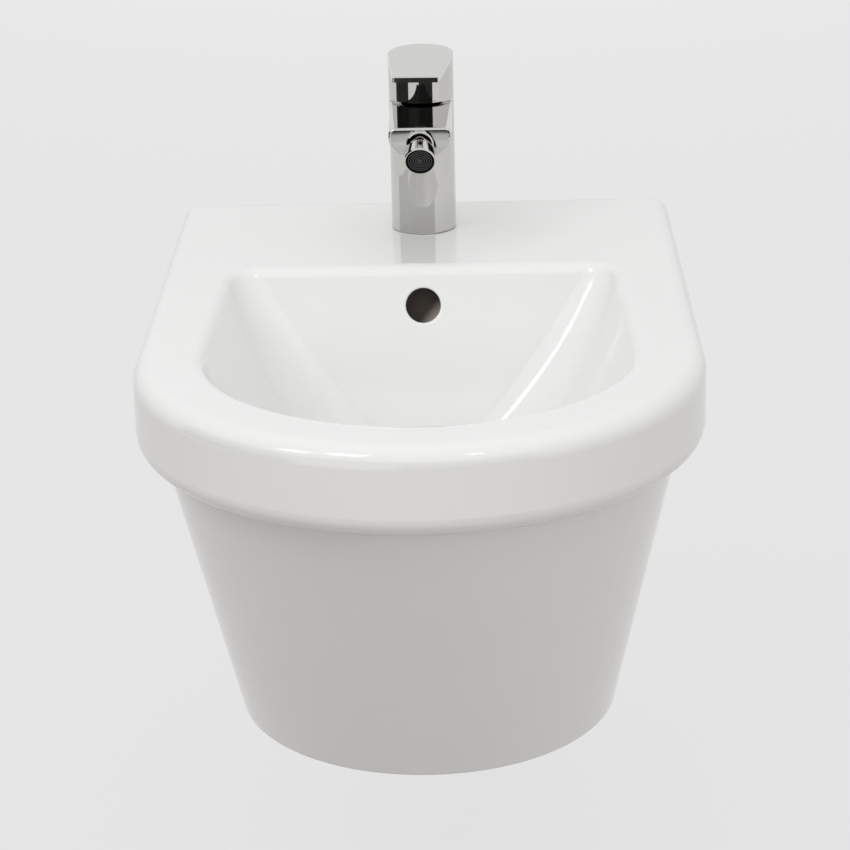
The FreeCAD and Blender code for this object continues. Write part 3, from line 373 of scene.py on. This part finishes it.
FINISHES = {
    "china": vitreous_china("glazed_vitreous_china", hidden_faces),
    "chrome": chrome_plate(),
    "brass": turned_brass(),
    "steel": rolled_steel(),
    "rubber": moulded("moulded_nitrile_rubber", "#141414", "#232322",
                      grain_mm=0.9, gloss_range=(0.6, 0.85), relief_mm=0.06),
    "white_plastic": moulded("moulded_white_polypropylene", "#DAD9D4", "#E6E5E1",
                             grain_mm=1.2, gloss_range=(0.38, 0.55), relief_mm=0.04),
    "grey_plastic": moulded("moulded_grey_acetal", "#6A6C6E", "#7D7F81",
                            grain_mm=1.2, gloss_range=(0.32, 0.48), relief_mm=0.03),
    "black_plastic": moulded("moulded_black_acetal", "#060607", "#0C0C0D",
                             grain_mm=0.8, gloss_range=(0.22, 0.36), relief_mm=0.03, specular=0.15),
}

# Nodes whose finish isn't quite their slot's: the bowl is bare below and the duct all over,
# the brass ball is plated where the nozzle shows it, and the aerator has painted light on its lands
OWN_FINISHES = {
    "ceramic_bowl": vitreous_china("glazed_china_bowl", underside),
    "ceramic_duct": vitreous_china("biscuit_china_duct"),
    "nozzle_ball": FINISHES["chrome"],
    "aerator_insert": painted_rings_acetal(),
}


def dress_nodes():
    """Gives every carried-over node its own finish, or that of its slot."""
    for part in frame["record"]["subparts"]:
        node = part["node"]
        mesh = frame["nodes"][node].data
        mesh.materials.clear()
        mesh.materials.append(OWN_FINISHES.get(node, FINISHES[part["material_slot"]]))


def new_tree(name, sizes):
    """A geometry tree with a named input for each size, and the sockets that give them."""
    tree = bpy.data.node_groups.new(name, "GeometryNodeTree")
    tree.interface.new_socket("Geometry", in_out="OUTPUT", socket_type="NodeSocketGeometry")
    for label, kind in sizes.items():
        tree.interface.new_socket(label, in_out="INPUT", socket_type=kind)
    return tree, add(tree, "NodeGroupInput").outputs


def end_tree(tree, geometry, material):
    """Ends a tree in plain meshes that carry their finish."""
    solid = add(tree, "GeometryNodeRealizeInstances", {"Geometry": geometry})
    dressed = add(tree, "GeometryNodeSetMaterial", {"Geometry": solid, "Material": material})
    add(tree, "NodeGroupOutput", {"Geometry": dressed})


def thread_tree():
    """A ridge that winds up a bar."""
    tree, size = new_tree("screw_thread", {"Radius": "NodeSocketFloat", "Pitch": "NodeSocketFloat",
                                           "Turns": "NodeSocketFloat", "Ridge": "NodeSocketFloat",
                                           "Finish": "NodeSocketMaterial"})
    height = add(tree, "ShaderNodeMath", {0: size["Pitch"], 1: size["Turns"]}, operation="MULTIPLY")
    path = add(tree, "GeometryNodeCurveSpiral", {"Resolution": POINTS_PER_TURN, "Rotations": size["Turns"],
                                                 "Start Radius": size["Radius"],
                                                 "End Radius": size["Radius"], "Height": height})
    section = add(tree, "GeometryNodeCurvePrimitiveCircle", {"Resolution": RIDGE_SIDES,
                                                             "Radius": size["Ridge"]})
    ridge = add(tree, "GeometryNodeCurveToMesh", {"Curve": path, "Profile Curve": section,
                                                  "Fill Caps": True})
    end_tree(tree, ridge, size["Finish"])
    return tree


def rib_tree():
    """Thin ribs like spokes between two circles."""
    tree, size = new_tree("aerator_ribs", {"Ribs": "NodeSocketInt", "Inner": "NodeSocketFloat",
                                           "Outer": "NodeSocketFloat", "Width": "NodeSocketFloat",
                                           "Depth": "NodeSocketFloat", "Finish": "NodeSocketMaterial"})
    both = add(tree, "ShaderNodeMath", {0: size["Inner"], 1: size["Outer"]}, operation="ADD")
    middle = add(tree, "ShaderNodeMath", {0: both, 1: 2.0}, operation="DIVIDE")
    length = add(tree, "ShaderNodeMath", {0: size["Outer"], 1: size["Inner"]}, operation="SUBTRACT")
    circle = add(tree, "GeometryNodeMeshCircle", {"Vertices": size["Ribs"], "Radius": middle})
    block = add(tree, "ShaderNodeCombineXYZ", {"X": length, "Y": size["Width"], "Z": size["Depth"]})
    rib = add(tree, "GeometryNodeMeshCube", {"Size": block})
    outward = add(tree, "GeometryNodeInputPosition")
    turn = add(tree, "FunctionNodeAlignRotationToVector", {"Vector": outward}, axis="X")
    spokes = add(tree, "GeometryNodeInstanceOnPoints", {"Points": circle, "Instance": rib, "Rotation": turn})
    end_tree(tree, spokes, size["Finish"])
    return tree


def grow(name, tree, sizes, place, body, slot):
    """Runs a tree with its sizes, and keeps what it makes as a plain mesh on a body."""
    piece = bpy.data.objects.new(name, bpy.data.meshes.new(name))
    bpy.context.scene.collection.objects.link(piece)
    modifier = piece.modifiers.new(name, "NODES")
    modifier.node_group = tree
    sizes = dict(sizes, Finish=FINISHES[slot])
    for item in tree.interface.items_tree:
        if item.in_out == "INPUT":
            modifier[item.identifier] = sizes[item.name]
    mesh = bpy.data.meshes.new_from_object(piece.evaluated_get(bpy.context.evaluated_depsgraph_get()))
    piece.modifiers.remove(modifier)
    mesh.transform(place)
    piece.data = mesh
    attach(piece, body)


def add_thread(name, tree, x, y, low, high, radius, pitch, slot):
    """A thread from one level to another round an upright bar."""
    ridge = RIDGE_SHARE * pitch
    turns = (high - low - 2 * ridge) / pitch
    sizes = {"Radius": radius, "Pitch": pitch, "Turns": turns, "Ridge": ridge}
    grow(name, tree, sizes, Matrix.Translation((x, y, low + ridge)), "bidet", slot)


def add_threads():
    """Threads on the mixer's stud and on the tail of the waste."""
    tree = thread_tree()
    low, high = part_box("mixer_stud")
    nut_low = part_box("clamp_nut")[0][2]
    add_thread("stud_thread", tree, (low[0] + high[0]) / 2, (low[1] + high[1]) / 2, low[2], nut_low,
               (high[0] - low[0]) / 2, STUD_PITCH, "steel")
    tail = next(mount for mount in frame["record"]["mounts"] if mount["name"] == "waste_tail")
    x, y, z = tail["pos_m"]
    half = tail["dims"]["length_mm"] * MM / 2
    radius = tail["dims"]["r_mm"] * MM
    add_thread("tail_thread", tree, x, y, z - half, z + half, radius, TAIL_PITCH, "chrome")


def add_aerator_ribs():
    """Fine ribs across the grooves of the black aerator."""
    ball, ahead = aerator_axis()
    face = ball + ahead * (AERATOR_FACE - RIB_SETBACK - RIB_DEPTH / 2)
    place = Matrix.Translation(face) @ ahead.to_track_quat("Z", "Y").to_matrix().to_4x4()
    sizes = {"Ribs": AERATOR_RIBS, "Inner": RIB_INNER, "Outer": RIB_OUTER, "Width": RIB_WIDTH,
             "Depth": RIB_DEPTH}
    grow("aerator_ribs", rib_tree(), sizes, place, "nozzle", "black_plastic")


def seen_directly(tree):
    """One for what the camera, a mirror or a clear piece sees, nought for plain lighting."""
    ray = add(tree, "ShaderNodeLightPath").outputs
    either = add(tree, "ShaderNodeMath", {0: ray["Is Camera Ray"], 1: ray["Is Glossy Ray"]},
                 operation="MAXIMUM")
    return add(tree, "ShaderNodeMath", {0: either, 1: ray["Is Transmission Ray"]}, operation="MAXIMUM")


def add_sheet(name, corners, faces, material):
    """A flat or folded piece of the room, which isn't part of the object."""
    mesh = bpy.data.meshes.new(name)
    mesh.from_pydata(corners, [], faces)
    mesh.materials.append(material)
    sheet = bpy.data.objects.new(name, mesh)
    bpy.context.scene.collection.objects.link(sheet)
    return sheet


def add_floor():
    """Pale floor: it looks white to the camera, keeps the shadow, and throws little light back up.
    From below it is clear, so that the underside can be looked at."""
    material, tree = new_material("pale_floor")
    matt = add(tree, "ShaderNodeBsdfPrincipled", {"Base Color": linear("#A39F9D"), "Roughness": 0.8})
    glow = add(tree, "ShaderNodeEmission", {"Color": linear("#FFFFFF"), "Strength": FLOOR_GLOW})
    share = add(tree, "ShaderNodeMath", {0: seen_directly(tree), 1: FLOOR_GLOW_SHARE}, operation="MULTIPLY")
    pale = add(tree, "ShaderNodeMixShader", {0: share, 1: matt, 2: glow})
    below = add(tree, "ShaderNodeNewGeometry").outputs["Backfacing"]
    clear = add(tree, "ShaderNodeBsdfTransparent")
    sided = add(tree, "ShaderNodeMixShader", {0: below, 1: pale, 2: clear})
    add(tree, "ShaderNodeOutputMaterial", {"Surface": sided})
    half = FLOOR_SIZE / 2
    corners = [(x, y, FLOOR_Z) for x, y in ((-half, -half), (half, -half), (half, half), (-half, half))]
    add_sheet("floor", corners, [(0, 1, 2, 3)], material)


def add_dark_card(name, start, end, hex_colour, profile):
    """A dark card ahead of the object, which only polished surfaces see."""
    material, tree = new_material("black_card")
    end_material(tree, {"Base Color": linear(hex_colour), "Roughness": 0.9})
    bearings = [math.radians(start + (end - start) * k / CARD_STEPS) for k in range(CARD_STEPS + 1)]
    corners = [(d * math.sin(t), -d * math.cos(t), height) for d, height in profile for t in bearings]
    across = len(bearings)
    steps = [k for k in range(len(corners) - across) if (k + 1) % across]
    card = add_sheet(name, corners, [(k, k + 1, k + across + 1, k + across) for k in steps], material)
    card.visible_camera = False
    card.visible_diffuse = False
    card.visible_shadow = False


def add_lamp(name, place, aim, side, watts, mirrored):
    """A square soft box that faces a point, and may be kept out of reflections."""
    data = bpy.data.lights.new(name, "AREA")
    data.size = side
    data.energy = watts
    lamp = bpy.data.objects.new(name, data)
    lamp.location = place
    lamp.rotation_mode = "QUATERNION"
    lamp.rotation_quaternion = (Vector(aim) - Vector(place)).to_track_quat("-Z", "Y")
    lamp.visible_glossy = mirrored
    bpy.context.scene.collection.objects.link(lamp)


def add_world():
    """Even studio light, which looks paler to the camera and in polished metal."""
    world = bpy.data.worlds.new("studio")
    world.use_nodes = True
    tree = world.node_tree
    tree.nodes.clear()
    level = add(tree, "ShaderNodeMapRange", {"Value": seen_directly(tree), "To Min": WORLD_THROWN,
                                             "To Max": WORLD_SEEN})
    light = add(tree, "ShaderNodeBackground", {"Color": linear("#FEFEFE"), "Strength": level})
    add(tree, "ShaderNodeOutputWorld", {"Surface": light})
    bpy.context.scene.world = world


def add_camera():
    """A camera at the photograph's viewing angle."""
    data = bpy.data.cameras.new("camera")
    data.lens = CAMERA_LENS
    data.sensor_width = CAMERA_SENSOR
    data.clip_end = CAMERA_SIGHT
    camera = bpy.data.objects.new("camera", data)
    turn = Matrix.Rotation(math.radians(-CAMERA_TURN), 4, "Z")
    drop = Matrix.Rotation(math.radians(90 - CAMERA_DROP), 4, "X")
    roll = Matrix.Rotation(math.radians(-CAMERA_ROLL), 4, "Z")
    camera.matrix_world = Matrix.Translation(CAMERA_PLACE) @ turn @ drop @ roll
    bpy.context.scene.collection.objects.link(camera)
    bpy.context.scene.camera = camera


dress_nodes()
add_threads()
add_aerator_ribs()
add_floor()
add_world()
for card in CARDS:
    add_dark_card(*card)
for lamp in BROAD_LAMPS:
    add_lamp(*lamp, mirrored=False)
for lamp in MIRRORED_LAMPS:
    add_lamp(*lamp, mirrored=True)
add_camera()
bpy.context.scene.view_settings.view_transform = "Standard"
